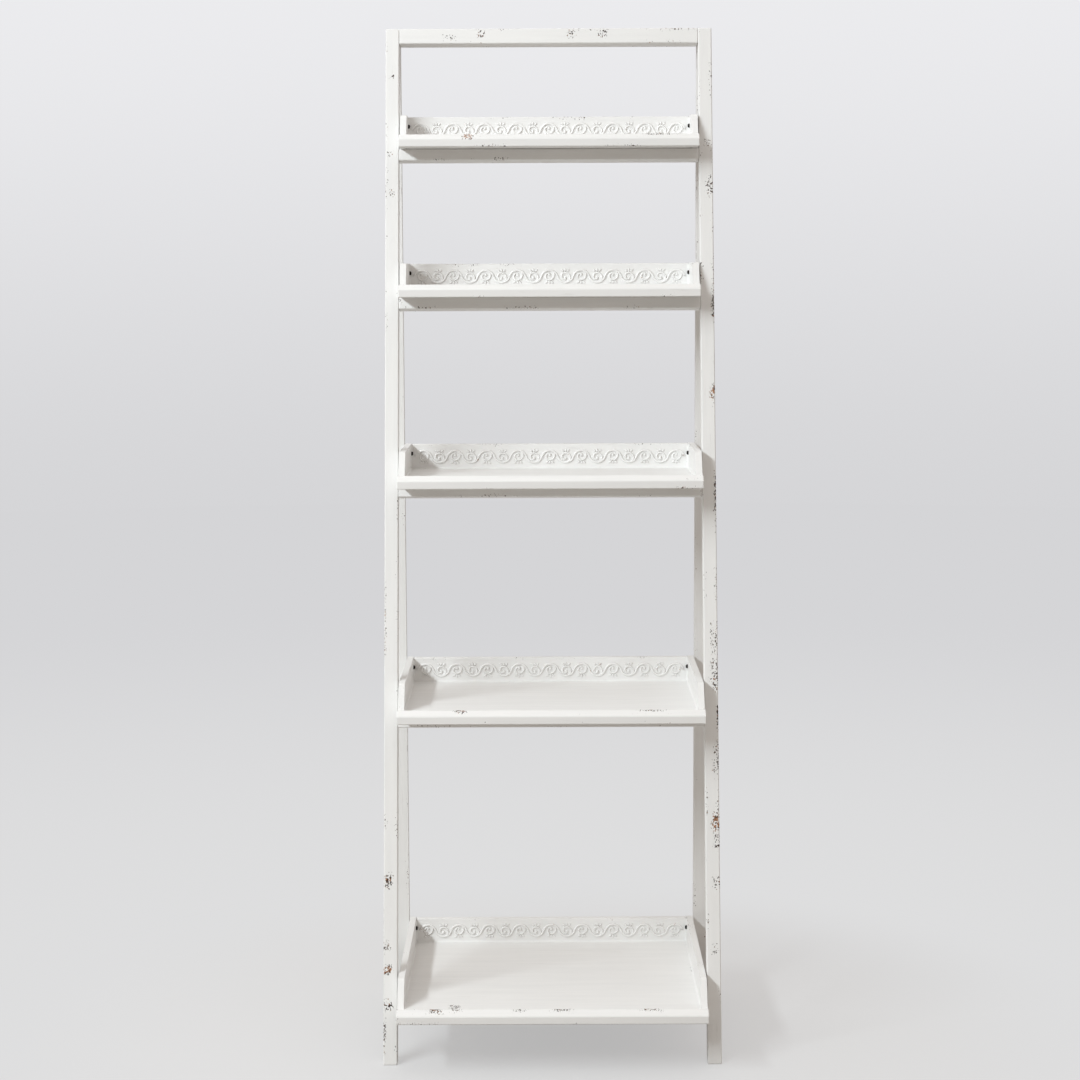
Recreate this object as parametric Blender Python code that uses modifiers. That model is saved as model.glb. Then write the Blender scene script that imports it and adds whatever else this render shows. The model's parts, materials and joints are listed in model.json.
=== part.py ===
"""A folding ladder shelf for plants: a leaning front frame hinged at the top to an upright rear frame,
and five trays that turn on bolts in the rear stiles and rest on the front rails. Metres, +Z up, front at -Y."""

from math import acos, atan2, cos, pi, radians, sin, tan

import bmesh
import bpy
from mathutils import Vector

# Whole stand
OVERALL_HEIGHT = 1.64
INNER_WIDTH = 0.490  # between the two stiles of either frame
FRONT_LEAN = radians(11.5)
STILE_WIDTH = 0.022
STILE_DEPTH = 0.022
TOP_RAIL_HEIGHT = 0.025
REAR_RAIL_HEIGHT = 0.019
FRONT_RAIL_HEIGHT = 0.019
EDGE_SOFTNESS = 0.0012

# Trays: a level is the height of the floor's top, and an overhang stands in front of the front frame
LOWEST_TRAY_LEVEL = 0.0989
TOP_TRAY_DROP = 0.1833  # top tray's level below the top of the stand
TIER_SHARES = (0.3341, 0.2673, 0.2214, 0.1772)  # of the height between those two, from the floor up
UPPER_OVERHANG = 0.0595  # top two trays
LOWER_OVERHANG = 0.083  # other three
TRAY_THICKNESS = 0.013
TRAY_SIDE_GAP = 0.0025
TRAY_REAR_GAP = 0.001
LIP_DEPTH = 0.036
RIM_HEIGHT = 0.0075  # rim along the tray's front, above its floor
RIM_SLOPE = 0.012  # depth of the slope up to the rim's crest
RIM_CREST = 0.003
CHEEK_THICKNESS = 0.010
CHEEK_HEIGHT = 0.0415
CHEEK_SLANT = 0.028  # set back of the cheek's front edge at its top
CHEEK_CORNER = 0.008
BACK_HEIGHT = 0.041
BACK_THICKNESS = 0.012

# Pivot bolts of the trays
PIVOT_RISE = 0.014  # pivot above the tray's underside
EAR_RADIUS = 0.0105
BOLT_RADIUS = 0.003
BOLT_HEAD_RADIUS = 0.0055
BOLT_HEAD_HEIGHT = 0.003
BOLT_HEAD_EASE = 0.0012
BOLT_END_INSET = 0.001  # bolt's end inside the cheek's inner face

# Hinges between the two top rails
HINGE_OFFSET = 0.150  # each hinge from the middle
HINGE_WIDTH = 0.032
LEAF_DROP = 0.0155
LEAF_THICKNESS = 0.0014
BARREL_RADIUS = 0.003
PIN_RADIUS = 0.0012
PIN_DROP = 0.005  # pin below the front frame's top, along the frame
SCREW_SPACING = 0.018
SCREW_DROP = 0.0098  # screws below the pin
SCREW_RADIUS = 0.0010
SCREW_HEAD_RADIUS = 0.0022
SCREW_LENGTH = 0.012

# Clearances
SEAT = 0.0003  # between pieces that touch
PLAY = 0.0003  # around a pin, bolt or screw

FLOOR = 0.0
ROUND_STEPS = 20
SMOOTH_ANGLE = radians(40)
MERGE_DISTANCE = 0.00001
AXIS_SIZE = 0.05  # drawn size of the empties on the joint axes

WHITE_PAINT = ("white_paint", (0.86, 0.85, 0.82), 0.55, 0.0)
ZINC_STEEL = ("zinc_steel", (0.42, 0.42, 0.43), 0.35, 1.0)

# Places worked out from the sizes above
STILE_X = (INNER_WIDTH + STILE_WIDTH) / 2
TRAY_HALF = INNER_WIDTH / 2 - TRAY_SIDE_GAP
LEAF_SEAT = BARREL_RADIUS + SEAT  # from the pin to each rail's facing side
FRAME_FRONT = -(LEAF_SEAT + STILE_DEPTH)  # front frame's front face, from the pin
PIN_Z = OVERALL_HEIGHT + FRAME_FRONT * sin(FRONT_LEAN) - PIN_DROP * cos(FRONT_LEAN)
REAR_TOP = PIN_Z + BARREL_RADIUS
TOP_TRAY_LEVEL = OVERALL_HEIGHT - TOP_TRAY_DROP
TIER_RISE = TOP_TRAY_LEVEL - LOWEST_TRAY_LEVEL


def level_cut(y, height):
    """Where a level plane meets the leaning front frame at depth y, along the frame from the pin."""
    return (y * sin(FRONT_LEAN) + height - PIN_Z) / cos(FRONT_LEAN)


def tray_reach(level, overhang):
    """From the rear stiles' front face to the tray's front edge."""
    frame_y = FRAME_FRONT * cos(FRONT_LEAN) + level_cut(FRAME_FRONT, level) * sin(FRONT_LEAN)
    return LEAF_SEAT - frame_y + overhang


TRAY_LEVELS = [LOWEST_TRAY_LEVEL + TIER_RISE * sum(TIER_SHARES[:tier]) for tier in (4, 3, 2, 1, 0)]
TRAY_OVERHANGS = (UPPER_OVERHANG, UPPER_OVERHANG, LOWER_OVERHANG, LOWER_OVERHANG, LOWER_OVERHANG)
TRAY_REACHES = [tray_reach(level, overhang) for level, overhang in zip(TRAY_LEVELS, TRAY_OVERHANGS)]
REAR_FACE = (max(TRAY_REACHES) - STILE_DEPTH) / 2  # centres the stand's depth on the origin
PIVOT_Y = REAR_FACE + STILE_DEPTH / 2
PIN_Y = REAR_FACE - LEAF_SEAT


def clear_scene():
    for old in list(bpy.data.objects):
        bpy.data.objects.remove(old)


def new_collection(name):
    collection = bpy.data.collections.new(name)
    bpy.context.scene.collection.children.link(collection)
    return collection


def new_material(name, colour, roughness, metallic):
    material = bpy.data.materials.new(name)
    material.use_nodes = True
    shader = material.node_tree.nodes["Principled BSDF"]
    shader.inputs["Base Color"].default_value = (*colour, 1.0)
    shader.inputs["Roughness"].default_value = roughness
    shader.inputs["Metallic"].default_value = metallic
    return material


def axis_empty(name, place, lean=0.0):
    empty = bpy.data.objects.new(name, None)
    empty.location = place
    empty.rotation_euler.x = -lean
    empty.empty_display_size = AXIS_SIZE
    PARTS.objects.link(empty)
    return empty


def add_object(name, data, material, place, parent, collection=None):
    """An object at a place given from its parent's axis."""
    piece = bpy.data.objects.new(name, data)
    piece.location = place
    piece.parent = parent
    if not data.materials:
        data.materials.append(material)
    (collection or PARTS).objects.link(piece)
    return piece


def soften(piece):
    bevel = piece.modifiers.new("Softened edges", "BEVEL")
    bevel.width = EDGE_SOFTNESS
    bevel.segments = 1
    bevel.limit_method = "ANGLE"
    return piece


def board(name, low, high, parent, material=None):
    """A straight board between two corners, given from its parent's axis."""
    low, high = Vector(low), Vector(high)
    form = bmesh.new()
    bmesh.ops.create_cube(form, size=1.0)
    bmesh.ops.scale(form, vec=high - low, verts=form.verts)
    mesh = bpy.data.meshes.new(name)
    form.to_mesh(mesh)
    form.free()
    return add_object(name, mesh, material or PAINT, (low + high) / 2, parent)


def profile_board(name, outline, middle_x, thickness, parent, holes=()):
    """A board cut to an outline of (y, z) points, with round holes given as (y, z, radius)."""
    curve = bpy.data.curves.new(name, "CURVE")
    curve.dimensions = "2D"
    curve.fill_mode = "BOTH"
    curve.extrude = thickness / 2
    for points in [outline] + [circle(*hole) for hole in holes]:
        spline = curve.splines.new("POLY")
        spline.points.add(len(points) - 1)
        for point, (y, z) in zip(spline.points, points):
            point.co = (y, z, 0.0, 1.0)
        spline.use_cyclic_u = True
    piece = add_object(name, curve, PAINT, (middle_x, 0.0, 0.0), parent)
    piece.rotation_euler = (pi / 2, 0.0, pi / 2)
    return piece


def weld_and_soften(piece):
    weld = piece.modifiers.new("Joined caps", "WELD")
    weld.merge_threshold = MERGE_DISTANCE
    return soften(piece)


def circle(y, z, radius):
    turns = [2 * pi * step / ROUND_STEPS for step in range(ROUND_STEPS)]
    return [(y + radius * cos(turn), z + radius * sin(turn)) for turn in turns]


def arc(y, z, radius, start, end, steps):
    turns = [start + (end - start) * step / steps for step in range(steps + 1)]
    return [(y + radius * cos(turn), z + radius * sin(turn)) for turn in turns]


def turned_mesh(name, profile):
    """A solid turned about Z from (radius, height) points that run from its top to its bottom."""
    line = bpy.data.meshes.new(name)
    edges = [(i, i + 1) for i in range(len(profile) - 1)]
    line.from_pydata([(radius, 0.0, height) for radius, height in profile], edges, [])
    blank = bpy.data.objects.new(name + "_blank", line)
    CUTTERS.objects.link(blank)
    turn = blank.modifiers.new("Turned", "SCREW")
    turn.steps = ROUND_STEPS
    turn.render_steps = ROUND_STEPS
    turn.use_merge_vertices = True
    turn.merge_threshold = MERGE_DISTANCE
    mesh = finished_mesh(blank)
    mesh.shade_smooth()
    mesh.set_sharp_from_angle(angle=SMOOTH_ANGLE)
    return mesh


def finished_mesh(blank):
    """The mesh that a blank's modifiers give; the blank itself goes."""
    bpy.context.view_layer.update()
    evaluated = blank.evaluated_get(bpy.context.evaluated_depsgraph_get())
    mesh = bpy.data.meshes.new_from_object(evaluated)
    mesh.transform(blank.matrix_world)
    form = bmesh.new()
    form.from_mesh(mesh)
    bmesh.ops.remove_doubles(form, verts=form.verts, dist=MERGE_DISTANCE)
    form.to_mesh(mesh)
    form.free()
    bpy.data.objects.remove(blank)
    return mesh


def cutter(name, mesh, place, parent, turn=(0.0, 0.0, 0.0)):
    tool = add_object(name, mesh, STEEL, place, parent, CUTTERS)
    tool.rotation_euler = turn
    tool.hide_render = True
    tool.display_type = "WIRE"
    return tool


def cut(piece, tool):
    boolean = piece.modifiers.new(tool.name, "BOOLEAN")
    boolean.operation = "DIFFERENCE"
    boolean.solver = "EXACT"
    boolean.object = tool


def front_frame(fold):
    back = -LEAF_SEAT
    rail_half = INNER_WIDTH / 2 - SEAT
    stile = [
        (FRAME_FRONT, PIN_DROP),
        (FRAME_FRONT, level_cut(FRAME_FRONT, FLOOR)),
        (back, level_cut(back, FLOOR)),
        (back, PIN_DROP),
    ]
    for side, sign in SIDES:
        weld_and_soften(profile_board(f"front_stile_{side}", stile, sign * STILE_X, STILE_WIDTH, fold))
    top_rail = board(
        "front_top_rail",
        (-rail_half, FRAME_FRONT, PIN_DROP - TOP_RAIL_HEIGHT),
        (rail_half, back, PIN_DROP),
        fold,
    )
    soften(top_rail)
    for tier, level in enumerate(TRAY_LEVELS, 1):
        seat = level - TRAY_THICKNESS - SEAT
        low = level_cut(FRAME_FRONT, seat) - FRONT_RAIL_HEIGHT
        rail = [
            (FRAME_FRONT, level_cut(FRAME_FRONT, seat)),
            (FRAME_FRONT, low),
            (back, low),
            (back, level_cut(back, seat)),
        ]
        weld_and_soften(profile_board(f"front_rail_{tier}", rail, 0.0, 2 * rail_half, fold))
    return top_rail


def rear_frame():
    depth = (REAR_FACE, REAR_FACE + STILE_DEPTH)
    stile = [(depth[0], REAR_TOP), (depth[0], FLOOR), (depth[1], FLOOR), (depth[1], REAR_TOP)]
    bores = [(PIVOT_Y, pivot_height(level), BOLT_RADIUS + PLAY) for level in TRAY_LEVELS]
    for side, sign in SIDES:
        profile_board(f"rear_stile_{side}", stile, sign * STILE_X, STILE_WIDTH, None, bores)
    rail_half = INNER_WIDTH / 2 - SEAT
    return soften(
        board(
            "rear_top_rail",
            (-rail_half, depth[0], REAR_TOP - REAR_RAIL_HEIGHT),
            (rail_half, depth[1], REAR_TOP),
            None,
        )
    )


def pivot_height(level):
    return level - TRAY_THICKNESS + PIVOT_RISE


def tray(tier, level, reach):
    """One tray, placed from its pivot."""
    name = f"tray_{tier}"
    pivot = axis_empty(f"{name}_axis", (0.0, PIVOT_Y, pivot_height(level)))
    front = REAR_FACE - reach - PIVOT_Y
    rear = REAR_FACE - TRAY_REAR_GAP - PIVOT_Y
    seam = front + LIP_DEPTH
    back = rear - BACK_THICKNESS
    under = -PIVOT_RISE
    top = under + TRAY_THICKNESS
    inside = TRAY_HALF - CHEEK_THICKNESS - SEAT
    rim = top + RIM_HEIGHT
    crest = front + RIM_SLOPE
    rim_back = crest + RIM_CREST
    lip = [
        (front, under),
        (seam, under),
        (seam, top),
        (rim_back, top),
        (rim_back, rim),
        (crest, rim),
        (front, top),
    ]
    weld_and_soften(profile_board(f"{name}_lip", lip, 0.0, 2 * TRAY_HALF, pivot))
    soften(board(f"{name}_floor", (-inside, seam + SEAT, under), (inside, back - SEAT, top), pivot))
    soften(board(f"{name}_back", (-inside, back, under), (inside, rear, top + BACK_HEIGHT), pivot))
    cheek_front = seam + SEAT
    cheek_top = top + CHEEK_HEIGHT
    slant = atan2(CHEEK_SLANT, CHEEK_HEIGHT)
    corner = arc(
        cheek_front + CHEEK_SLANT + CHEEK_CORNER * tan(pi / 4 - slant / 2),
        cheek_top - CHEEK_CORNER,
        CHEEK_CORNER,
        pi / 2,
        pi - slant,
        ROUND_STEPS // 4,
    )
    ear = arc(0.0, 0.0, EAR_RADIUS, -pi / 2, pi / 2, ROUND_STEPS // 2)
    outline = (
        [(cheek_front, under), (rear, under), (rear, -EAR_RADIUS)]
        + ear
        + [(rear, EAR_RADIUS), (rear, cheek_top)]
        + corner
        + [(cheek_front, top)]
    )
    bore = [(0.0, 0.0, BOLT_RADIUS + PLAY)]
    for side, sign in SIDES:
        middle = sign * (TRAY_HALF - CHEEK_THICKNESS / 2)
        profile_board(f"{name}_cheek_{side}", outline, middle, CHEEK_THICKNESS, pivot, bore)
        bolt = add_object(
            f"{name}_bolt_{side}",
            BOLT,
            STEEL,
            (sign * (INNER_WIDTH / 2 + STILE_WIDTH + SEAT), PIVOT_Y, pivot_height(level)),
            None,
        )
        bolt.rotation_euler.y = sign * pi / 2


def bolt_mesh():
    length = STILE_WIDTH + SEAT + TRAY_SIDE_GAP + CHEEK_THICKNESS - BOLT_END_INSET
    return turned_mesh(
        "pivot_bolt",
        [
            (0.0, BOLT_HEAD_HEIGHT),
            (BOLT_HEAD_RADIUS - BOLT_HEAD_EASE, BOLT_HEAD_HEIGHT),
            (BOLT_HEAD_RADIUS, BOLT_HEAD_HEIGHT - BOLT_HEAD_EASE),
            (BOLT_HEAD_RADIUS, 0.0),
            (BOLT_RADIUS, 0.0),
            (BOLT_RADIUS, -length),
            (0.0, -length),
        ],
    )


def rod_mesh(name, radius, length):
    half = length / 2
    return turned_mesh(name, [(0.0, half), (radius, half), (radius, -half), (0.0, -half)])


def screw_mesh(name, spare, length):
    """A flat-headed screw, or the hole for it with some spare room, its head's top at the origin."""
    head = SCREW_HEAD_RADIUS + spare
    shank = SCREW_RADIUS + spare
    return turned_mesh(
        name,
        [(0.0, spare), (head, spare), (head, 0.0), (shank, -LEAF_THICKNESS), (shank, -length), (0.0, -length)],
    )


def leaf_mesh(name, facing, gaps):
    """A hinge leaf about its pin; facing is the side of the pin it lies on, and a gap is (start, end) in x."""
    outer, inner = facing * BARREL_RADIUS, facing * (BARREL_RADIUS - LEAF_THICKNESS)
    outer_turn = 0.0 if facing > 0 else pi
    inner_turn = outer_turn - facing * acos(abs(inner) / BARREL_RADIUS)
    rolled = arc(0.0, 0.0, BARREL_RADIUS, inner_turn, outer_turn - facing * 2 * pi, ROUND_STEPS)
    strip = profile_board(
        name,
        [(outer, -LEAF_DROP), (inner, -LEAF_DROP)] + rolled,
        0.0,
        HINGE_WIDTH,
        None,
        [(0.0, 0.0, PIN_RADIUS + PLAY)],
    )
    blank = add_object(name, finished_mesh(strip), STEEL, (0.0, 0.0, 0.0), None, CUTTERS)
    room = BARREL_RADIUS + PLAY
    tools = [board(f"{name}_gap", (low, -room, -room), (high, room, room), None) for low, high in gaps]
    hole = screw_mesh("leaf_hole", PLAY, SCREW_LENGTH)
    tools += [cutter(f"{name}_hole", hole, (x, inner, -SCREW_DROP), None, screw_turn(facing)) for x in SCREW_PLACES]
    for tool in tools:
        cut(blank, tool)
    mesh = finished_mesh(blank)
    for tool in tools:
        bpy.data.objects.remove(tool)
    return mesh


def screw_turn(facing):
    """Turns a screw's point towards the rail on that side of the pin."""
    return (facing * pi / 2, 0.0, 0.0)


def hinges(fold, front_rail, rear_rail):
    sixth = HINGE_WIDTH / 6
    beyond = HINGE_WIDTH
    front_leaf = leaf_mesh("front_leaf", -1, [(-sixth - SEAT / 2, sixth + SEAT / 2)])
    rear_gaps = [(-beyond, -sixth + SEAT / 2), (sixth - SEAT / 2, beyond)]
    rear_leaf = leaf_mesh("rear_leaf", 1, rear_gaps)
    pin = rod_mesh("hinge_pin", PIN_RADIUS, HINGE_WIDTH)
    screw = screw_mesh("hinge_screw", 0.0, SCREW_LENGTH)
    pilot = screw_mesh("pilot_hole", PLAY, SCREW_LENGTH + PLAY)
    upright = axis_empty("hinge_axis", (0.0, PIN_Y, PIN_Z))
    for side, sign in SIDES:
        x = sign * HINGE_OFFSET
        add_object(f"hinge_{side}_front_leaf", front_leaf, STEEL, (x, 0.0, 0.0), fold)
        add_object(f"hinge_{side}_rear_leaf", rear_leaf, STEEL, (x, 0.0, 0.0), upright)
        rod = add_object(f"hinge_{side}_pin", pin, STEEL, (x, 0.0, 0.0), upright)
        rod.rotation_euler.y = pi / 2
        for half_name, facing, axis, rail in (
            ("front", -1, fold, front_rail),
            ("rear", 1, upright, rear_rail),
        ):
            for number, offset in enumerate(SCREW_PLACES, 1):
                name = f"hinge_{side}_{half_name}_screw_{number}"
                place = (x + offset, facing * (BARREL_RADIUS - LEAF_THICKNESS), -SCREW_DROP)
                fastener = add_object(name, screw, STEEL, place, axis)
                fastener.rotation_euler = screw_turn(facing)
                hole = cutter(f"{name}_hole", pilot, place, axis, screw_turn(facing))
                cut(rail, hole)


SIDES = (("left", -1), ("right", 1))
SCREW_PLACES = (-SCREW_SPACING / 2, SCREW_SPACING / 2)

clear_scene()
PARTS = new_collection("plant_stand")
CUTTERS = new_collection("cutters")
PAINT = new_material(*WHITE_PAINT)
STEEL = new_material(*ZINC_STEEL)
BOLT = bolt_mesh()

fold_axis = axis_empty("fold_axis", (0.0, PIN_Y, PIN_Z), FRONT_LEAN)
hinges(fold_axis, front_frame(fold_axis), rear_frame())
for number, (height, depth) in enumerate(zip(TRAY_LEVELS, TRAY_REACHES), 1):
    tray(number, height, depth)
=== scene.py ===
"""Looks of a folding ladder shelf for plants: rubbed white paint, carved back rails, dull steel
and a pale studio."""

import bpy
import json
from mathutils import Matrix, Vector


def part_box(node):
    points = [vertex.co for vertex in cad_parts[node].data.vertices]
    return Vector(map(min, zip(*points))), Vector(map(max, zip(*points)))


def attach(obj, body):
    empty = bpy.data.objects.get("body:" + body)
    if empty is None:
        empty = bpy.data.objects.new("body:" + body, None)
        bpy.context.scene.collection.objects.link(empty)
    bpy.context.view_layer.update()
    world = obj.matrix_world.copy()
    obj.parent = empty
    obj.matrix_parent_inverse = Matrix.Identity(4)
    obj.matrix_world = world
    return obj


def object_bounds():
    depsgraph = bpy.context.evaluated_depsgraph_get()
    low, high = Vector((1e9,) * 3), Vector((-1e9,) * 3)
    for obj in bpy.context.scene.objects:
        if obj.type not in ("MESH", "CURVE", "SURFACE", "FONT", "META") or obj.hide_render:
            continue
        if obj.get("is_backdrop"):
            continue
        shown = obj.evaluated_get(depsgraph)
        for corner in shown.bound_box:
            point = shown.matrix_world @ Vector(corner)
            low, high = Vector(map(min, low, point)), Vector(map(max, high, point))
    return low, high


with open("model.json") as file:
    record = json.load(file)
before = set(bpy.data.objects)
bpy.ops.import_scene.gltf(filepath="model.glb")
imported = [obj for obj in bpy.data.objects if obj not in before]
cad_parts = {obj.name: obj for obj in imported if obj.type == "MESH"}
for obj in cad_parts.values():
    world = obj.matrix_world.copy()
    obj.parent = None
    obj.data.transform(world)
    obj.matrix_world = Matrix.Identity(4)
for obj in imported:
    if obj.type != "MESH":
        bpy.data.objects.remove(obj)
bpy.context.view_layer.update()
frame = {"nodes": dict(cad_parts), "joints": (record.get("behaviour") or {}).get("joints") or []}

import json
from math import ceil, cos, pi, radians, sin

import bmesh
import bpy
from bpy.props import FloatProperty, FloatVectorProperty, PointerProperty
from bpy.types import Operator, Panel, PropertyGroup
from mathutils import Matrix, Vector

bl_info = {
    "name": "Ladder shelf finish",
    "version": (1, 0, 0),
    "blender": (4, 5, 0),
    "location": "3D View > Sidebar > Shelf",
    "description": "Paints, carves and lights a folding ladder shelf for plants",
    "category": "Object",
}

NODES = frame["nodes"]
JOINTS = {joint["name"]: joint for joint in frame["joints"]}
FOLD_LEAN = radians(JOINTS["fold"]["range_deg"][1])
TIERS = range(1, 6)
SIDES = (("left", -1), ("right", 1))
UP = (0.0, 0.0, 1.0)
TOWARDS_FRONT = (0.0, -1.0, 0.0)
PHOTO_PIXELS = 1080
SENSOR_WIDTH = 36.0
FLECK_SCALE = (470.0, 470.0, 370.0)
PAINT_SPECULAR = 0.35
FRONT_FRAME = ("front_stile_left", "front_stile_right", "front_top_rail")
REAR_FRAME = ("rear_stile_left", "rear_stile_right", "rear_top_rail")
TRAY_BOARDS = ("floor", "lip", "cheek_left", "cheek_right", "back")
TOP_LAMP_PLACE = (0.0, -0.6, 5.0)
TOP_LAMP_SIZE = (3.0, 3.0)
FLOOR_RADIUS = 9.0
FLOOR_SEGMENTS = 64

# Places rubbed through: distance from a board's low end and reach along it, place and reach across it
# (from -1 to 1), strength, and how much of the wood there is warm
WORN_PLACES = {
    "front_stile_left": (
        (1.592, 0.006, 0.00, 0.6, 0.55, 0.2),
        (1.465, 0.006, -0.30, 0.6, 0.60, 0.2),
        (1.400, 0.009, -0.10, 0.6, 0.60, 0.2),
        (0.700, 0.080, -1.00, 0.4, 0.50, 0.1),
        (0.288, 0.015, -0.35, 0.8, 1.00, 0.25),
        (0.186, 0.010, -0.60, 0.8, 0.60, 0.0),
        (0.149, 0.009, -0.45, 0.9, 1.00, 0.8),
        (0.093, 0.012, -0.40, 1.0, 0.80, 0.0),
        (0.050, 0.030, -0.95, 0.5, 0.60, 0.1),
    ),
    "front_stile_right": (
        (1.480, 0.012, 0.20, 0.8, 0.45, 0.2),
        (1.410, 0.022, 0.60, 1.0, 0.60, 0.0),
        (1.214, 0.034, 1.00, 0.6, 0.90, 0.0),
        (1.070, 0.016, 0.75, 0.7, 1.00, 1.0),
        (0.910, 0.046, 1.05, 0.5, 0.85, 0.0),
        (0.672, 0.034, 0.60, 1.0, 0.50, 0.0),
        (0.613, 0.034, 0.75, 1.2, 0.68, 0.0),
        (0.546, 0.030, 1.10, 0.5, 1.00, 0.1),
        (0.481, 0.036, 0.80, 0.9, 0.66, 0.0),
        (0.381, 0.019, 0.60, 1.0, 1.00, 0.8),
        (0.350, 0.018, 0.75, 0.9, 0.60, 0.0),
        (0.284, 0.013, 0.65, 1.0, 0.72, 0.0),
        (0.178, 0.012, 0.30, 0.8, 0.50, 0.0),
    ),
    "front_top_rail": (
        (0.081, 0.014, -0.30, 0.7, 0.45, 0.2),
        (0.133, 0.010, 0.30, 0.7, 0.68, 0.35),
        (0.282, 0.009, 0.20, 0.8, 0.75, 0.40),
        (0.334, 0.011, 0.35, 0.8, 0.75, 0.00),
    ),
    "tray_1_lip": (
        (0.112, 0.012, 0.70, 0.9, 0.80, 0.9),
        (0.420, 0.034, 1.05, 0.4, 0.90, 0.1),
    ),
    "tray_4_lip": ((0.100, 0.013, 1.00, 0.5, 0.90, 0.35), (0.400, 0.030, 1.05, 0.3, 0.75, 0.1)),
    "tray_5_lip": (
        (0.060, 0.016, 1.00, 0.5, 0.95, 0.35),
        (0.093, 0.014, 1.05, 0.4, 0.75, 0.1),
        (0.190, 0.016, 1.05, 0.4, 0.70, 0.1),
        (0.257, 0.022, 1.05, 0.4, 0.75, 0.1),
        (0.397, 0.024, 1.05, 0.4, 0.75, 0.1),
    ),
    "tray_5_floor": ((0.078, 0.012, -0.93, 0.07, 0.85, 0.0),),
}
# The board's own axis that those places are given across
ACROSS = {"front_stile_left": 0, "front_stile_right": 0, "front_top_rail": 2, "tray_5_floor": 1}
ACROSS.update({f"tray_{tier}_lip": 2 for tier in (1, 4, 5)})
# Depths, from -1 in front to 1 behind, between which the front frame's wear dies away
FRONT_WEAR_DEPTHS = (-0.85, -0.15)


class PaintSettings(PropertyGroup):
    paint: FloatVectorProperty(
        name="Paint",
        description="Warm white of the whole coat",
        subtype="COLOR",
        size=4,
        default=(0.885, 0.881, 0.868, 1.0),
    )
    thin_paint: FloatVectorProperty(
        name="Thin paint",
        description="Colour of the grain where the coat is thin",
        subtype="COLOR",
        size=4,
        default=(0.56, 0.54, 0.51, 1.0),
    )
    dark_wood: FloatVectorProperty(
        name="Dark wood",
        description="Darkest tone of the wood under the paint",
        subtype="COLOR",
        size=4,
        default=(0.040, 0.027, 0.024, 1.0),
    )
    bare_wood: FloatVectorProperty(
        name="Bare wood",
        description="Warm tone of the wood under the paint",
        subtype="COLOR",
        size=4,
        default=(0.37, 0.175, 0.085, 1.0),
    )
    wear: FloatProperty(
        name="Wear",
        description="How far the edges are rubbed through",
        subtype="FACTOR",
        min=0.0,
        max=1.0,
        default=0.40,
    )
    joint_strip: FloatProperty(
        name="Joint strip",
        description="Reach of the paint in the trays' inner corners",
        unit="LENGTH",
        default=0.0022,
    )
    edge_reach: FloatProperty(
        name="Edge reach",
        description="How far the rubbing reaches from an edge",
        unit="LENGTH",
        default=0.008,
    )


class ScrollSettings(PropertyGroup):
    half_wave: FloatProperty(
        name="Half wave",
        description="Length of one rise or fall of the carved stem",
        unit="LENGTH",
        default=0.0265,
    )
    slope: FloatProperty(
        name="Slope",
        description="Steepness of the stem where it crosses its middle line",
        unit="ROTATION",
        default=radians(75),
    )
    stem_width: FloatProperty(
        name="Stem width",
        description="Width of the carved stem",
        unit="LENGTH",
        default=0.0039,
    )
    proud: FloatProperty(
        name="Proud",
        description="How far the carving stands off the rail",
        unit="LENGTH",
        default=0.0024,
    )
    curl_radius: FloatProperty(
        name="Curl radius",
        description="Radius of the outer turn of each curl",
        unit="LENGTH",
        default=0.0080,
    )
    band_rise: FloatProperty(
        name="Band rise",
        description="Height of the carving's middle line above the tray's floor",
        unit="LENGTH",
        default=0.0198,
    )


class HardwareSettings(PropertyGroup):
    zinc: FloatVectorProperty(
        name="Zinc",
        description="Dull plate on the hinges and bolts",
        subtype="COLOR",
        size=4,
        default=(0.42, 0.42, 0.43, 1.0),
    )
    blacking: FloatVectorProperty(
        name="Blacking",
        description="Dark finish of the nuts inside the cheeks",
        subtype="COLOR",
        size=4,
        default=(0.035, 0.030, 0.028, 1.0),
    )
    nut_radius: FloatProperty(
        name="Nut radius",
        description="Radius of the dark cap nuts inside the cheeks",
        unit="LENGTH",
        default=0.0033,
    )
    nut_height: FloatProperty(
        name="Nut height",
        description="How far those nuts stand off the cheek",
        unit="LENGTH",
        default=0.0032,
    )
    nut_inset: FloatProperty(
        name="Nut inset",
        description="Nuts in front of the back rail",
        unit="LENGTH",
        default=0.0042,
    )
    nut_drop: FloatProperty(
        name="Nut drop",
        description="Nuts below the top of the back rail",
        unit="LENGTH",
        default=0.0155,
    )


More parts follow.
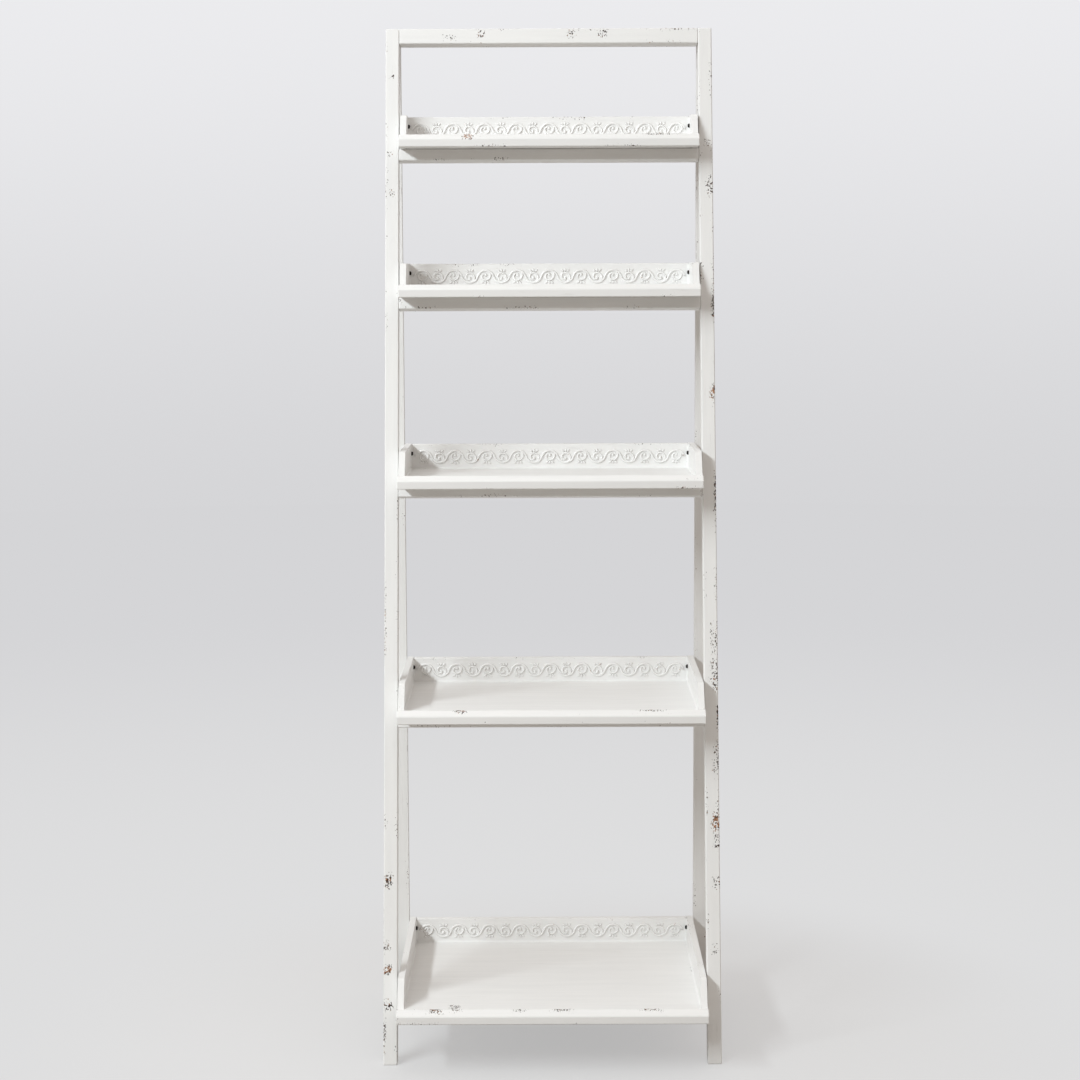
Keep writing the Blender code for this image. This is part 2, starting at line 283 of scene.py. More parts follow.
class StageSettings(PropertyGroup):
    floor: FloatVectorProperty(
        name="Floor",
        description="Pale studio floor",
        subtype="COLOR",
        size=4,
        default=(0.80, 0.80, 0.80, 1.0),
    )
    bounce: FloatVectorProperty(
        name="Bounce",
        description="Colour of the light that the floor throws back",
        subtype="COLOR",
        size=4,
        default=(0.40, 0.375, 0.345, 1.0),
    )
    backdrop_near: FloatVectorProperty(
        name="Backdrop, near",
        description="Floor round the shelf, as the backdrop shows it",
        subtype="COLOR",
        size=4,
        default=(0.73, 0.73, 0.735, 1.0),
    )
    backdrop_low: FloatVectorProperty(
        name="Backdrop, low",
        description="Backdrop where it meets the floor",
        subtype="COLOR",
        size=4,
        default=(0.665, 0.665, 0.68, 1.0),
    )
    backdrop_high: FloatVectorProperty(
        name="Backdrop, high",
        description="Backdrop above the shelf",
        subtype="COLOR",
        size=4,
        default=(0.84, 0.84, 0.86, 1.0),
    )
    floor_glow: FloatProperty(
        name="Floor glow",
        description="Share of the backdrop in the floor under the shelf",
        subtype="FACTOR",
        min=0.0,
        max=1.0,
        default=0.58,
    )
    camera_place: FloatVectorProperty(
        name="Camera",
        description="Place of the camera",
        subtype="TRANSLATION",
        default=(-0.0132, -3.7507, 1.2421),
    )
    camera_pitch: FloatProperty(
        name="Pitch",
        description="How far the camera looks down",
        unit="ROTATION",
        default=0.1133,
    )
    camera_yaw: FloatProperty(
        name="Yaw",
        description="How far the camera looks to the left",
        unit="ROTATION",
        default=0.001,
    )
    camera_roll: FloatProperty(
        name="Roll",
        description="Turn of the camera about its own line of sight",
        unit="ROTATION",
        default=-0.0037,
    )
    focal_pixels: FloatProperty(
        name="Focal length",
        description="Focal length in pixels of the square picture",
        default=2350.5,
    )
    key_place: FloatVectorProperty(
        name="Key lamp",
        description="Place of the long lamp that casts the shadows",
        subtype="TRANSLATION",
        default=(-2.84, -2.75, 3.25),
    )
    key_power: FloatProperty(
        name="Key power",
        description="Power of that lamp",
        unit="POWER",
        default=155.0,
    )
    key_length: FloatProperty(
        name="Key length",
        description="Length of that lamp, from front to back",
        unit="LENGTH",
        default=2.9,
    )
    key_width: FloatProperty(
        name="Key width",
        description="Width of that lamp",
        unit="LENGTH",
        default=0.35,
    )
    key_tint: FloatVectorProperty(
        name="Key tint",
        description="Colour of the lamps",
        subtype="COLOR",
        size=3,
        default=(0.90, 0.965, 1.0),
    )
    top_power: FloatProperty(
        name="Top power",
        description="Power of the wide lamp overhead",
        unit="POWER",
        default=20.0,
    )
    fill_low: FloatVectorProperty(
        name="Fill, low",
        description="Light of the room from the sides",
        subtype="COLOR",
        size=4,
        default=(0.26, 0.225, 0.198, 1.0),
    )
    fill_high: FloatVectorProperty(
        name="Fill, high",
        description="Light of the room from above",
        subtype="COLOR",
        size=4,
        default=(0.60, 0.545, 0.50, 1.0),
    )


class ShelfSettings(PropertyGroup):
    paint: PointerProperty(type=PaintSettings)
    scroll: PointerProperty(type=ScrollSettings)
    hardware: PointerProperty(type=HardwareSettings)
    stage: PointerProperty(type=StageSettings)


class Nodes:
    """A node tree, with short ways to add nodes whose inputs are numbers or other nodes' outputs."""

    def __init__(self, tree):
        self.tree = tree

    def add(self, kind, inputs=(), **settings):
        node = self.tree.nodes.new(kind)
        for name, value in settings.items():
            setattr(node, name, value)
        for place, value in inputs:
            if isinstance(value, bpy.types.NodeSocket):
                self.tree.links.new(value, node.inputs[place])
            else:
                node.inputs[place].default_value = value
        return node

    def math(self, operation, *values):
        return self.add("ShaderNodeMath", list(enumerate(values)), operation=operation).outputs[0]

    def vector(self, operation, *values):
        node = self.add("ShaderNodeVectorMath", list(enumerate(values)), operation=operation)
        return node.outputs["Vector"]

    def noise(self, vector, scale, detail=2.0, roughness=0.5):
        inputs = (("Vector", vector), ("Scale", scale), ("Detail", detail), ("Roughness", roughness))
        return self.add("ShaderNodeTexNoise", inputs).outputs[0]

    def rise(self, value, low, high):
        """0 below low, 1 above high, with a smooth step between."""
        inputs = (("Value", value), ("From Min", low), ("From Max", high))
        return self.add("ShaderNodeMapRange", inputs, interpolation_type="SMOOTHSTEP").outputs[0]

    def mix(self, factor, first, second):
        inputs = ((0, factor), (6, first), (7, second))
        return self.add("ShaderNodeMix", inputs, data_type="RGBA").outputs[2]


def new_material(name):
    material = bpy.data.materials.new(name)
    material.use_nodes = True
    nodes = Nodes(material.node_tree)
    shader = material.node_tree.nodes["Principled BSDF"]
    return material, nodes, shader


def object_point(nodes):
    return nodes.add("ShaderNodeTexCoord").outputs["Object"]


def edge_distance(nodes, place, half):
    """Distance from a point on a box to the box's nearest edge: the middle one of its three clearances."""
    room = nodes.vector("SUBTRACT", half, nodes.vector("ABSOLUTE", place))
    parts = nodes.add("ShaderNodeSeparateXYZ", ((0, room),)).outputs
    low = nodes.math("MINIMUM", parts[0], parts[1])
    high = nodes.math("MAXIMUM", parts[0], parts[1])
    return nodes.math("MAXIMUM", low, nodes.math("MINIMUM", high, parts[2]))


def worn_paint_group(settings):
    """Brushed white paint on wood, rubbed through along the edges of a box."""
    tree = bpy.data.node_groups.new("worn_paint", "ShaderNodeTree")
    sockets = (
        ("Point", "INPUT", "NodeSocketVector"),
        ("Centre", "INPUT", "NodeSocketVector"),
        ("Half", "INPUT", "NodeSocketVector"),
        ("Grain", "INPUT", "NodeSocketVector"),
        ("Wear", "INPUT", "NodeSocketFloat"),
        ("Patch", "INPUT", "NodeSocketFloat"),
        ("Warmth", "INPUT", "NodeSocketFloat"),
        ("Colour", "OUTPUT", "NodeSocketColor"),
        ("Roughness", "OUTPUT", "NodeSocketFloat"),
        ("Normal", "OUTPUT", "NodeSocketVector"),
    )
    for name, direction, kind in sockets:
        tree.interface.new_socket(name, in_out=direction, socket_type=kind)
    nodes = Nodes(tree)
    given = nodes.add("NodeGroupInput").outputs
    point = given["Point"]
    edge = edge_distance(nodes, nodes.vector("SUBTRACT", point, given["Centre"]), given["Half"])

    near = nodes.math("SUBTRACT", 1.0, nodes.rise(edge, 0.0, settings.edge_reach))
    cluster = nodes.rise(nodes.noise(point, 15.0, 3.0), 0.52, 0.68)
    spread = nodes.math("MULTIPLY", nodes.math("MULTIPLY", near, cluster), given["Wear"])
    score = nodes.math("MINIMUM", nodes.math("ADD", spread, given["Patch"]), 1.0)
    fleck = nodes.noise(nodes.vector("MULTIPLY", point, FLECK_SCALE), 1.0, 2.0, 0.5)
    limit = nodes.math("MULTIPLY_ADD", score, -0.24, 0.69)
    flecks = nodes.rise(nodes.math("SUBTRACT", fleck, limit), 0.0, 0.04)
    flecks = nodes.math("MULTIPLY", flecks, nodes.rise(score, 0.02, 0.15))
    thin_edge = nodes.math("SUBTRACT", 1.0, nodes.rise(edge, 0.0002, 0.0013))
    rubbed = nodes.math("MULTIPLY", thin_edge, nodes.rise(nodes.noise(point, 38.0, 4.0, 0.7), 0.58, 0.68))
    rubbed = nodes.math("MULTIPLY", rubbed, given["Wear"])
    bare = nodes.math("MAXIMUM", flecks, rubbed)

    along = nodes.vector("MULTIPLY", point, given["Grain"])
    brush = nodes.noise(along, 1.0, 4.0, 0.6)
    grain = nodes.noise(along, 2.3, 5.0, 0.65)
    thin = nodes.rise(nodes.noise(point, 9.0, 2.0), 0.42, 0.66)
    lines = nodes.math("MULTIPLY", nodes.rise(grain, 0.58, 0.74), thin)
    paint = nodes.mix(nodes.math("MULTIPLY", lines, 0.42), settings.paint, settings.thin_paint)
    shade = nodes.rise(brush, 0.25, 0.75)
    cooler = [channel * scale for channel, scale in zip(settings.paint, (0.93, 0.935, 0.94, 1.0))]
    paint = nodes.mix(nodes.math("MULTIPLY", shade, 0.55), paint, cooler)
    tone = nodes.math("MULTIPLY_ADD", given["Warmth"], 0.26, nodes.noise(point, 240.0, 2.0))
    tone = nodes.rise(tone, 0.54, 0.74)
    wood = nodes.mix(tone, settings.dark_wood, settings.bare_wood)
    colour = nodes.mix(bare, paint, wood)

    rough = nodes.math("MULTIPLY_ADD", shade, 0.14, 0.42)
    rough = nodes.math("MULTIPLY_ADD", bare, 0.25, rough)
    height = nodes.math("MULTIPLY_ADD", brush, 0.55, nodes.math("MULTIPLY", grain, 0.25))
    height = nodes.math("MULTIPLY_ADD", bare, -0.5, height)
    bump = nodes.add("ShaderNodeBump", (("Strength", 0.55), ("Distance", 0.0006), ("Height", height)))
    nodes.add(
        "NodeGroupOutput",
        (("Colour", colour), ("Roughness", rough), ("Normal", bump.outputs[0])),
    )
    return tree


def board_box(name, lean):
    """Middle and half size of a board, along axes that lean with it."""
    turn = Matrix.Rotation(lean, 3, "X")
    points = [turn @ vertex.co for vertex in NODES[name].data.vertices]
    low = Vector([min(point[axis] for point in points) for axis in range(3)])
    high = Vector([max(point[axis] for point in points) for axis in range(3)])
    return (low + high) / 2, (high - low) / 2


def grain_scale(half):
    """Streaks run the length of a board: slow along it and quick across."""
    longest = max(range(3), key=lambda axis: half[axis])
    return [7.0 if axis == longest else 95.0 for axis in range(3)], longest


def nearness(nodes, value, middle, reach):
    """1 close to the middle, falling to 0 at a reach from it."""
    away = nodes.math("ABSOLUTE", nodes.math("SUBTRACT", value, middle))
    return nodes.math("SUBTRACT", 1.0, nodes.rise(away, reach * 0.25, reach * 1.15))


def worn_patch(nodes, point, centre, half, longest, name):
    """How far each place of a board is rubbed through, and how warm the wood is there."""
    place = nodes.vector("DIVIDE", nodes.vector("SUBTRACT", point, centre), half)
    parts = nodes.add("ShaderNodeSeparateXYZ", ((0, place),)).outputs
    along, across = parts[longest], parts[ACROSS[name]]
    patch, warmth = 0.0, 0.0
    for distance, reach, side, side_reach, strength, warm in WORN_PLACES[name]:
        near = nearness(nodes, along, distance / half[longest] - 1.0, reach / half[longest])
        spot = nodes.math("MULTIPLY", near, nearness(nodes, across, side, side_reach))
        patch = nodes.math("MAXIMUM", patch, nodes.math("MULTIPLY", spot, strength))
        warmth = nodes.math("MAXIMUM", warmth, nodes.math("MULTIPLY", spot, warm))
    if name in FRONT_FRAME:
        front = nodes.math("SUBTRACT", 1.0, nodes.rise(parts[1], *FRONT_WEAR_DEPTHS))
        patch = nodes.math("MULTIPLY", patch, front)
    return patch, warmth


def paint_board(name, settings, group, lean=0.0):
    """Gives a board of the model its own coat, with the grain along it and the rubbing on its own edges."""
    centre, half = board_box(name, lean)
    grain, longest = grain_scale(half)
    material, nodes, shader = new_material(f"{name}_paint")
    turned = (("Vector", object_point(nodes)), ("Rotation", (lean, 0.0, 0.0)))
    point = nodes.add("ShaderNodeMapping", turned).outputs[0]
    coat = nodes.add("ShaderNodeGroup", node_tree=group)
    for socket, value in (("Centre", centre), ("Half", half), ("Grain", grain), ("Wear", settings.wear)):
        coat.inputs[socket].default_value = value
    nodes.tree.links.new(point, coat.inputs["Point"])
    if name in WORN_PLACES:
        patch, warmth = worn_patch(nodes, point, centre, half, longest, name)
        nodes.tree.links.new(patch, coat.inputs["Patch"])
        nodes.tree.links.new(warmth, coat.inputs["Warmth"])
    finish_coat(nodes, coat, shader)
    set_material(NODES[name], material)


def finish_coat(nodes, coat, shader):
    for output, socket in (("Colour", "Base Color"), ("Roughness", "Roughness"), ("Normal", "Normal")):
        nodes.tree.links.new(coat.outputs[output], shader.inputs[socket])
    shader.inputs["Specular IOR Level"].default_value = PAINT_SPECULAR


def set_material(piece, material):
    piece.data.materials.clear()
    piece.data.materials.append(material)


def paint_group(settings):
    return bpy.data.node_groups.get("worn_paint") or worn_paint_group(settings)


def add_piece(name, form, body, material):
    """Makes a finished mesh a piece that moves with one of the shelf's bodies."""
    bmesh.ops.recalc_face_normals(form, faces=form.faces)
    mesh = bpy.data.meshes.new(name)
    form.to_mesh(mesh)
    form.free()
    piece = bpy.data.objects.new(name, mesh)
    bpy.context.scene.collection.objects.link(piece)
    set_material(piece, material)
    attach(piece, body)
    return piece


class VinePen:
    """Carves a stem of round section in a bmesh, arc after arc, on an upright plane that faces the front."""

    RING_SIDES = 8
    ARC_STEP = radians(15)

    def __init__(self, form, place, heading, width, proud):
        self.form = form
        self.place = Vector(place)
        self.heading = heading
        across = Vector((-sin(heading), 0.0, cos(heading))) * width / 2
        onward = Vector((cos(heading), 0.0, sin(heading)))
        columns = (across, Vector(TOWARDS_FRONT) * proud, onward)
        matrix = Matrix.Translation(self.place) @ Matrix(columns).transposed().to_4x4()
        made = bmesh.ops.create_circle(form, segments=self.RING_SIDES, radius=1.0, matrix=matrix)
        edges = {edge for vertex in made["verts"] for edge in vertex.link_edges}
        self.ring = made["verts"] + list(edges)

    def arc(self, radius, turn):
        """Turns to the left for a positive angle."""
        inward = Vector((-sin(self.heading), 0.0, cos(self.heading)))
        centre = self.place + inward * (radius if turn > 0 else -radius)
        spun = bmesh.ops.spin(
            self.form,
            geom=self.ring,
            cent=centre,
            axis=TOWARDS_FRONT,
            angle=turn,
            steps=max(2, ceil(abs(turn) / self.ARC_STEP)),
        )
        self.ring = [part for part in spun["geom_last"] if not isinstance(part, bmesh.types.BMFace)]
        self.place = centre + Matrix.Rotation(turn, 3, TOWARDS_FRONT) @ (self.place - centre)
        self.heading += turn


def carved_bead(form, place, size, turn=0.0):
    """A rounded bead, half sunk in the rail; size is its half width, half depth and half height."""
    matrix = (
        Matrix.Translation(place)
        @ Matrix.Rotation(turn, 4, TOWARDS_FRONT)
        @ Matrix.Diagonal((*size, 1.0))
    )
    bmesh.ops.create_uvsphere(form, u_segments=10, v_segments=6, radius=1.0, matrix=matrix)


def carve_scroll(form, settings, middle, width):
    """A running stem of equal rises and falls, with a round curl inside each and a leaf outside it."""
    count = int(width // settings.half_wave)
    radius = settings.half_wave / (2 * sin(settings.slope))
    crest = radius * (1 - cos(settings.slope))
    start = middle - Vector((count * settings.half_wave / 2, 0.0, 0.0))
    stem = VinePen(form, start, settings.slope, settings.stem_width, settings.proud)
    for number in range(count):
        side = 1 if number % 2 == 0 else -1
        stem.arc(radius, -side * 2 * settings.slope)
        top = start + Vector(((number + 0.5) * settings.half_wave, 0.0, side * crest))
        curl = VinePen(form, top, 0.0, settings.stem_width * 0.85, settings.proud * 0.95)
        curl.arc(settings.curl_radius, -side * radians(190))
        curl.arc(settings.curl_radius * 0.72, -side * radians(120))
        curl.arc(settings.curl_radius * 0.45, -side * radians(110))
        flower = top - Vector((0.0, 0.0, side * settings.curl_radius))
        bead = settings.stem_width * 0.62
        carved_bead(form, flower, (bead, settings.proud, bead))
        outside = start + Vector(((number + 0.5) * settings.half_wave, 0.0, -side * crest * 0.86))
        for lean in (-0.9, 0.0, 0.9):
            tip = Vector((sin(lean) * 1.5, 0.0, -side * cos(lean) * 0.35)) * settings.stem_width
            leaf = (settings.stem_width * 0.42, settings.proud * 0.8, settings.stem_width * 0.80)
            carved_bead(form, outside + tip, leaf, side * lean)
    open_edges = [edge for edge in form.edges if edge.is_boundary]
    bmesh.ops.holes_fill(form, edges=open_edges, sides=VinePen.RING_SIDES)


def carving_material(settings, face, proud):
    """The rails' paint on the carving, with painted shade that greys it towards the ground of the relief."""
    material, nodes, shader = new_material("carving_paint_and_recess_shade")
    point = object_point(nodes)
    depth = nodes.math("SUBTRACT", face, nodes.add("ShaderNodeSeparateXYZ", ((0, point),)).outputs[1])
    raised = nodes.rise(depth, 0.0, proud * 0.7)
    mottle = nodes.noise(point, 60.0, 3.0)
    # Painted shade: near the rail's face, where the carving's recesses fall in shade, the paint is mixed
    # towards a greyer colour.
    painted_recess_shade = [channel * 0.76 for channel in settings.paint[:3]] + [1.0]
    unshaded_share = nodes.math("MULTIPLY_ADD", mottle, 0.2, nodes.math("MULTIPLY", raised, 0.9))
    coat = nodes.mix(nodes.math("MINIMUM", unshaded_share, 1.0), painted_recess_shade, settings.paint)
    chips = nodes.rise(nodes.noise(point, 260.0, 2.0), 0.70, 0.74)
    colour = nodes.mix(nodes.math("MULTIPLY", chips, 0.7), coat, settings.bare_wood)
    nodes.tree.links.new(colour, shader.inputs["Base Color"])
    bump = nodes.add("ShaderNodeBump", (("Strength", 0.3), ("Distance", 0.0004), ("Height", mottle)))
    nodes.tree.links.new(bump.outputs[0], shader.inputs["Normal"])
    shader.inputs["Roughness"].default_value = 0.5
    shader.inputs["Specular IOR Level"].default_value = PAINT_SPECULAR
    return material


def paint_strip(form, corners, run):
    """A three-sided strip of paint from its end's corners, along a run."""
    face = form.faces.new([form.verts.new(corner) for corner in corners])
    grown = bmesh.ops.extrude_face_region(form, geom=[face], use_keep_orig=True)
    tips = [part for part in grown["geom"] if isinstance(part, bmesh.types.BMVert)]
    bmesh.ops.translate(form, vec=run, verts=tips)


def corner_strip(form, corner, first, second, run, reach):
    """Fills the inner corner where two boards meet; first and second point away from it along them."""
    corner, first, second = Vector(corner), Vector(first), Vector(second)
    sunk = corner - (first + second) * reach * 0.2
    paint_strip(form, (sunk, corner + first * reach, corner + second * reach), Vector(run))


def plain_coat(settings):
    """The whole coat, with no board's edges to rub through."""
    material, nodes, shader = new_material("joint_paint")
    coat = nodes.add("ShaderNodeGroup", node_tree=paint_group(settings))
    for socket, value in (("Half", (5.0, 5.0, 5.0)), ("Grain", (40.0, 40.0, 40.0))):
        coat.inputs[socket].default_value = value
    nodes.tree.links.new(object_point(nodes), coat.inputs["Point"])
    finish_coat(nodes, coat, shader)
    return material


def cap_nut(form, place, axis, radius, height):
    """A small domed nut that stands off a face along an axis."""
    turn = Vector(UP).rotation_difference(Vector(axis)).to_matrix().to_4x4()
    matrix = Matrix.Translation(Vector(place) + Vector(axis) * height / 2) @ turn
    made = bmesh.ops.create_cone(
        form,
        cap_ends=True,
        segments=24,
        radius1=radius,
        radius2=radius,
        depth=height,
        matrix=matrix,
    )
    faces = {face for vertex in made["verts"] for face in vertex.link_faces}
    top = max(faces, key=lambda face: face.calc_center_median().dot(Vector(axis)))
    rim = list(top.edges)
    bmesh.ops.bevel(form, geom=rim, offset=height * 0.6, affect="EDGES", segments=5, profile=0.5, material=-1)


def steel_material(name, colour, roughness):
    """Dull plate with fine rolling marks and a few darker stains."""
    material, nodes, shader = new_material(name)
    point = object_point(nodes)
    stain = nodes.rise(nodes.noise(point, 140.0, 4.0), 0.42, 0.70)
    darker = [channel * 0.6 for channel in colour[:3]] + [1.0]
    nodes.tree.links.new(nodes.mix(stain, colour, darker), shader.inputs["Base Color"])
    marks = nodes.noise(nodes.vector("MULTIPLY", point, (400.0, 2500.0, 2500.0)), 1.0, 2.0)
    nodes.tree.links.new(nodes.math("MULTIPLY_ADD", stain, 0.2, roughness), shader.inputs["Roughness"])
    bump = nodes.add("ShaderNodeBump", (("Strength", 0.15), ("Distance", 0.0002), ("Height", marks)))
    nodes.tree.links.new(bump.outputs[0], shader.inputs["Normal"])
    shader.inputs["Metallic"].default_value = 1.0
    return material


class SHELF_OT_paint_frames(Operator):
    """Paint the boards of the leaning front frame and the upright rear frame"""

    bl_idname = "shelf.paint_frames"
    bl_label = "Paint the frames"

    def execute(self, context):
        settings = context.scene.shelf.paint
        group = paint_group(settings)
        for name in FRONT_FRAME:
            paint_board(name, settings, group, FOLD_LEAN)
        for tier in TIERS:
            paint_board(f"front_rail_{tier}", settings, group, FOLD_LEAN)
        for name in REAR_FRAME:
            paint_board(name, settings, group)
        return {"FINISHED"}


class SHELF_OT_paint_trays(Operator):
    """Paint the five boards of every tray"""

    bl_idname = "shelf.paint_trays"
    bl_label = "Paint the trays"

    def execute(self, context):
        settings = context.scene.shelf.paint
        group = paint_group(settings)
        for tier in TIERS:
            for board in TRAY_BOARDS:
                paint_board(f"tray_{tier}_{board}", settings, group)
        return {"FINISHED"}


class SHELF_OT_carve_scrolls(Operator):
    """Carve a running scroll on the front of every tray's back rail"""

    bl_idname = "shelf.carve_scrolls"
    bl_label = "Carve the back rails"

    def execute(self, context):
        settings = context.scene.shelf
        scroll = settings.scroll
        low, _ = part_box("tray_1_back")
        material = carving_material(settings.paint, low.y, scroll.proud)
        for tier in TIERS:
            low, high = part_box(f"tray_{tier}_back")
            floor_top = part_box(f"tray_{tier}_floor")[1].z
            middle = Vector(((low.x + high.x) / 2, low.y, floor_top + scroll.band_rise))
            form = bmesh.new()
            carve_scroll(form, scroll, middle, high.x - low.x)
            piece = add_piece(f"tray_{tier}_scroll", form, f"tray_{tier}", material)
            piece.data.shade_smooth()
        return {"FINISHED"}


class SHELF_OT_paint_joints(Operator):
    """Run a strip of paint along the inner corners of every tray"""

    bl_idname = "shelf.paint_joints"
    bl_label = "Paint over the joints"

    def execute(self, context):
        settings = context.scene.shelf.paint
        reach = settings.joint_strip
        material = plain_coat(settings)
        for tier in TIERS:
            floor_low, floor_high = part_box(f"tray_{tier}_floor")
            back_low, back_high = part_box(f"tray_{tier}_back")
            top, front, rear = floor_high.z, floor_low.y, back_low.y
            form = bmesh.new()
            for side, sign in SIDES:
                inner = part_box(f"tray_{tier}_cheek_{side}")[(1 - sign) // 2].x
                away = (-sign, 0.0, 0.0)
                corner_strip(form, (inner, front, top), away, UP, (0.0, rear - front, 0.0), reach)
                rise = (0.0, 0.0, back_high.z - top - reach)
                corner_strip(form, (inner, rear, top), away, TOWARDS_FRONT, rise, reach)
            width = (back_high.x - back_low.x, 0.0, 0.0)
            corner_strip(form, (back_low.x, rear, top), TOWARDS_FRONT, UP, width, reach)
            add_piece(f"tray_{tier}_joints", form, f"tray_{tier}", material)
        return {"FINISHED"}


class SHELF_OT_cheek_nuts(Operator):
    """Set a dark cap nut inside each cheek, close to the back rail"""

    bl_idname = "shelf.cheek_nuts"
    bl_label = "Set the cheeks' nuts"

    def execute(self, context):
        hardware = context.scene.shelf.hardware
        material = steel_material("blackened_steel", hardware.blacking, 0.45)
        for tier in TIERS:
            low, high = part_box(f"tray_{tier}_back")
            form = bmesh.new()
            for side, sign in SIDES:
                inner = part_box(f"tray_{tier}_cheek_{side}")[(1 - sign) // 2].x
                place = (inner, low.y - hardware.nut_inset, high.z - hardware.nut_drop)
                cap_nut(form, place, (-sign, 0.0, 0.0), hardware.nut_radius, hardware.nut_height)
            add_piece(f"tray_{tier}_cheek_nuts", form, f"tray_{tier}", material)
        return {"FINISHED"}


class SHELF_OT_plate_hardware(Operator):
    """Give the hinges, their screws and the pivot bolts a dull plate"""

    bl_idname = "shelf.plate_hardware"
    bl_label = "Plate the hinges and bolts"

    def execute(self, context):
        material = steel_material("dull_zinc", context.scene.shelf.hardware.zinc, 0.34)
        for name, node in NODES.items():
            if name.startswith("hinge_") or "_bolt_" in name:
                set_material(node, material)
        return {"FINISHED"}


def floor_material(settings):
    """Pale floor that takes the shelf's shadow and passes into the backdrop some way out."""
    material, nodes, shader = new_material("studio_floor")
    point = object_point(nodes)
    mottle = nodes.noise(point, 3.0, 3.0)
    worn = [channel * 0.97 for channel in settings.floor[:3]] + [1.0]
    seen = nodes.mix(mottle, settings.floor, worn)
    nodes.tree.links.new(nodes.mix(seen_directly(nodes), settings.bounce, seen), shader.inputs["Base Color"])
    shader.inputs["Roughness"].default_value = 0.7
    shader.inputs["Specular IOR Level"].default_value = 0.2
    length = nodes.add("ShaderNodeVectorMath", ((0, point),), operation="LENGTH").outputs["Value"]
    shown = nodes.mix(nodes.rise(length, 0.8, 5.0), settings.backdrop_near, settings.backdrop_low)
    glow = nodes.add("ShaderNodeEmission", (("Color", shown),))
    near = settings.floor_glow
    spread = nodes.math("MULTIPLY_ADD", nodes.rise(length, 0.40, 1.0), 1.0 - near, near)
    outer = nodes.math("MULTIPLY", spread, seen_directly(nodes))
    surface = nodes.add("ShaderNodeMixShader", ((0, outer), (1, shader.outputs[0]), (2, glow.outputs[0])))
    output = nodes.tree.nodes["Material Output"]
    nodes.tree.links.new(surface.outputs[0], output.inputs["Surface"])
    return material


def seen_directly(nodes):
    """1 for what the camera sees itself, in a mirror or through glass."""
    rays = nodes.add("ShaderNodeLightPath").outputs
    seen = nodes.math("MAXIMUM", rays["Is Camera Ray"], rays["Is Glossy Ray"])
    return nodes.math("MAXIMUM", seen, rays["Is Transmission Ray"])


def backdrop_world(settings):
    """A plain room that lights the shelf evenly and shows as a pale backdrop."""
    world = bpy.data.worlds.new("studio")
    world.use_nodes = True
    nodes = Nodes(world.node_tree)
    direction = nodes.add("ShaderNodeTexCoord").outputs["Generated"]
    height = nodes.add("ShaderNodeSeparateXYZ", ((0, direction),)).outputs[2]
    shown = nodes.mix(nodes.rise(height, -0.12, 0.14), settings.backdrop_low, settings.backdrop_high)
    fill = nodes.mix(nodes.rise(height, -0.1, 0.7), settings.fill_low, settings.fill_high)
    background = world.node_tree.nodes["Background"]
    nodes.tree.links.new(nodes.mix(seen_directly(nodes), fill, shown), background.inputs["Color"])
    bpy.context.scene.world = world


def area_lamp(name, place, target, power, tint, size):
    """A flat lamp that faces a target, its length as near front to back as that allows."""
    lamp = bpy.data.lights.new(name, "AREA")
    lamp.shape = "RECTANGLE"
    lamp.size, lamp.size_y = size
    lamp.energy = power
    lamp.color = tint
    holder = bpy.data.objects.new(name, lamp)
    away = (Vector(place) - Vector(target)).normalized()
    across = away.cross(Vector(TOWARDS_FRONT)).normalized()
    columns = (away.cross(across), -across, away)
    holder.matrix_world = Matrix.Translation(place) @ Matrix(columns).transposed().to_4x4()
    holder.visible_camera = False
    bpy.context.scene.collection.objects.link(holder)


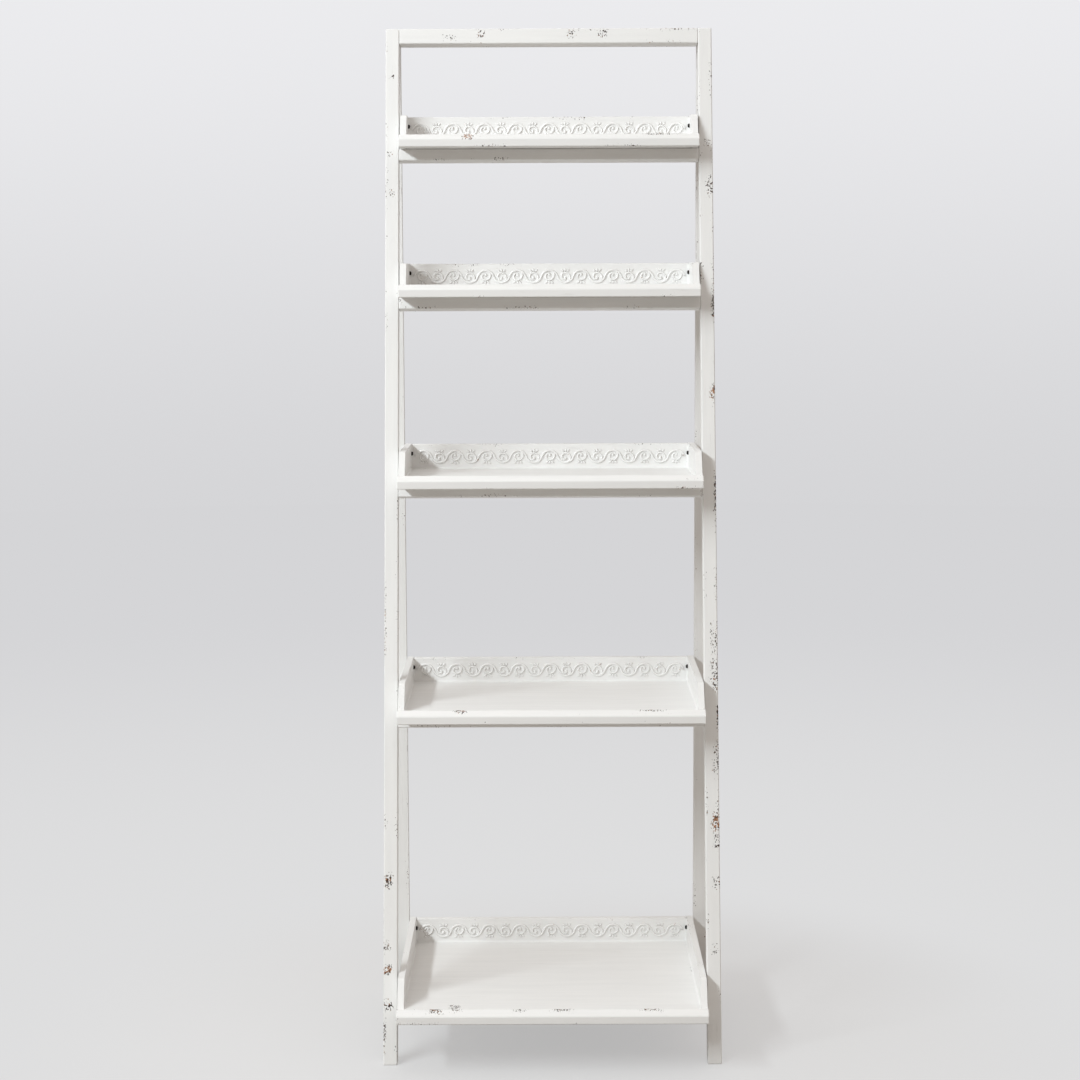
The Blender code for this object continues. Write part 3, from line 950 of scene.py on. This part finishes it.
class SHELF_OT_set_stage(Operator):
    """Lay the floor and set the backdrop, the lamps and the camera"""

    bl_idname = "shelf.set_stage"
    bl_label = "Set the stage"

    def execute(self, context):
        settings = context.scene.shelf.stage
        form = bmesh.new()
        bmesh.ops.create_circle(form, cap_ends=True, segments=FLOOR_SEGMENTS, radius=FLOOR_RADIUS)
        mesh = bpy.data.meshes.new("studio_floor")
        form.to_mesh(mesh)
        form.free()
        floor = bpy.data.objects.new("studio_floor", mesh)
        context.scene.collection.objects.link(floor)
        set_material(floor, floor_material(settings))
        floor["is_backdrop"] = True
        backdrop_world(settings)
        low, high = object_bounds()
        middle = (low + high) / 2
        key_size = (settings.key_length, settings.key_width)
        area_lamp("key_lamp", settings.key_place, middle, settings.key_power, settings.key_tint, key_size)
        area_lamp("top_lamp", TOP_LAMP_PLACE, middle, settings.top_power, settings.key_tint, TOP_LAMP_SIZE)
        camera = bpy.data.objects.new("photo_camera", bpy.data.cameras.new("photo_camera"))
        camera.data.sensor_width = SENSOR_WIDTH
        camera.data.lens = settings.focal_pixels * SENSOR_WIDTH / PHOTO_PIXELS
        camera.matrix_world = (
            Matrix.Translation(settings.camera_place)
            @ Matrix.Rotation(settings.camera_yaw, 4, "Z")
            @ Matrix.Rotation(pi / 2 - settings.camera_pitch, 4, "X")
            @ Matrix.Rotation(settings.camera_roll, 4, "Z")
        )
        context.scene.collection.objects.link(camera)
        context.scene.camera = camera
        context.scene.view_settings.view_transform = "Standard"
        return {"FINISHED"}


STEPS = (
    SHELF_OT_paint_frames,
    SHELF_OT_paint_trays,
    SHELF_OT_carve_scrolls,
    SHELF_OT_paint_joints,
    SHELF_OT_cheek_nuts,
    SHELF_OT_plate_hardware,
    SHELF_OT_set_stage,
)


class SHELF_PT_finish(Panel):
    """The shelf's finish, step by step"""

    bl_label = "Ladder shelf"
    bl_idname = "SHELF_PT_finish"
    bl_space_type = "VIEW_3D"
    bl_region_type = "UI"
    bl_category = "Shelf"

    def draw(self, context):
        for step in STEPS:
            self.layout.operator(step.bl_idname)


CLASSES = (
    PaintSettings,
    ScrollSettings,
    HardwareSettings,
    StageSettings,
    ShelfSettings,
    *STEPS,
    SHELF_PT_finish,
)


def register():
    for entry in CLASSES:
        bpy.utils.register_class(entry)
    bpy.types.Scene.shelf = PointerProperty(type=ShelfSettings)


def unregister():
    del bpy.types.Scene.shelf
    for entry in reversed(CLASSES):
        bpy.utils.unregister_class(entry)


def main():
    register()
    bpy.ops.shelf.paint_frames()
    bpy.ops.shelf.paint_trays()
    bpy.ops.shelf.carve_scrolls()
    bpy.ops.shelf.paint_joints()
    bpy.ops.shelf.cheek_nuts()
    bpy.ops.shelf.plate_hardware()
    bpy.ops.shelf.set_stage()


if __name__ == "__main__":
    main()
